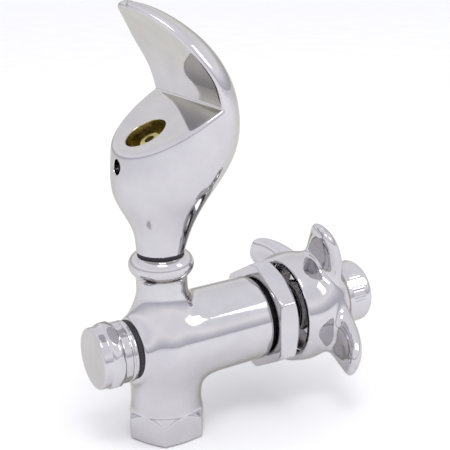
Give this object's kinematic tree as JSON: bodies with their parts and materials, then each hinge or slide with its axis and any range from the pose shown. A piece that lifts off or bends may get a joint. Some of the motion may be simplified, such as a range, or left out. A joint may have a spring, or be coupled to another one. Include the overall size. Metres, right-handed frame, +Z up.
{
  "type": "drinking faucet",
  "caption": "Self-closing drinking faucet with a female pipe inlet below, a mouth guard head on top, a capped regulator and a three-armed handle.",
  "frame": {"origin": "centre of the inlet's lower face, where the supply pipe enters", "axes": "+Z up, away from the supply pipe; +X along the valve axis from the regulator cap to the handle"},
  "size_m": [0.0982, 0.0606, 0.1332],
  "materials": {
    "chrome": "polished chrome plate",
    "brass": "machined brass",
    "steel": "stainless steel",
    "rubber": "black rubber",
    "nylon": "natural nylon"
  },
  "bodies": {
    "root": {"valve_body": "chrome", "inlet_strainer": "steel", "regulator_cap": "chrome", "cap_gasket": "rubber", "seat_gasket": "nylon", "valve_seat": "brass", "bonnet_nut": "chrome", "bonnet_gasket": "rubber", "gland_ring": "brass", "thrust_washer": "nylon", "bubbler_head": "chrome", "head_gasket": "rubber", "head_nipple": "brass", "outlet_nozzle": "brass", "flow_straightener": "nylon"},
    "stem": {"valve_stem": "brass", "washer_holder": "brass", "seat_washer": "rubber", "washer_screw": "steel", "cross_pin": "steel", "return_spring": "steel"},
    "handle": {"canopy_handle": "chrome", "cam_sleeve": "brass", "sleeve_oring": "rubber", "spring_washer": "steel", "handle_screw": "steel", "index_button": "chrome"},
    "regulator_plug": {"regulator_plug": "brass"},
    "regulator_screw": {"regulator_screw": "brass", "regulator_oring": "rubber"}
  },
  "joints": [
    {"name": "handle_turn", "type": "hinge", "parent": "root", "child": "handle", "pos_m": [0.05, 0, 0.0303], "axis": [1, 0, 0], "range_deg": [0, 90], "stiffness_Nm_per_rad": 0.12, "springref_deg": -20.05},
    {"name": "stem_lift", "type": "slide", "parent": "root", "child": "stem", "axis": [1, 0, 0], "range_m": [0, 0.0024], "deforming": ["return_spring"]},
    {"name": "regulator_travel", "type": "slide", "parent": "root", "child": "regulator_plug", "axis": [1, 0, 0], "range_m": [0, 0.002]},
    {"name": "regulator_turn", "type": "hinge", "parent": "regulator_plug", "child": "regulator_screw", "pos_m": [-0.01, 0, 0.0303], "axis": [1, 0, 0], "range_deg": [-960, 0]}
  ],
  "couplings": [
    {"joint": "stem_lift", "follows": "handle_turn", "m_per_rad": 0.0015278},
    {"joint": "regulator_travel", "follows": "regulator_turn", "m_per_rad": -0.00011936}
  ]
}
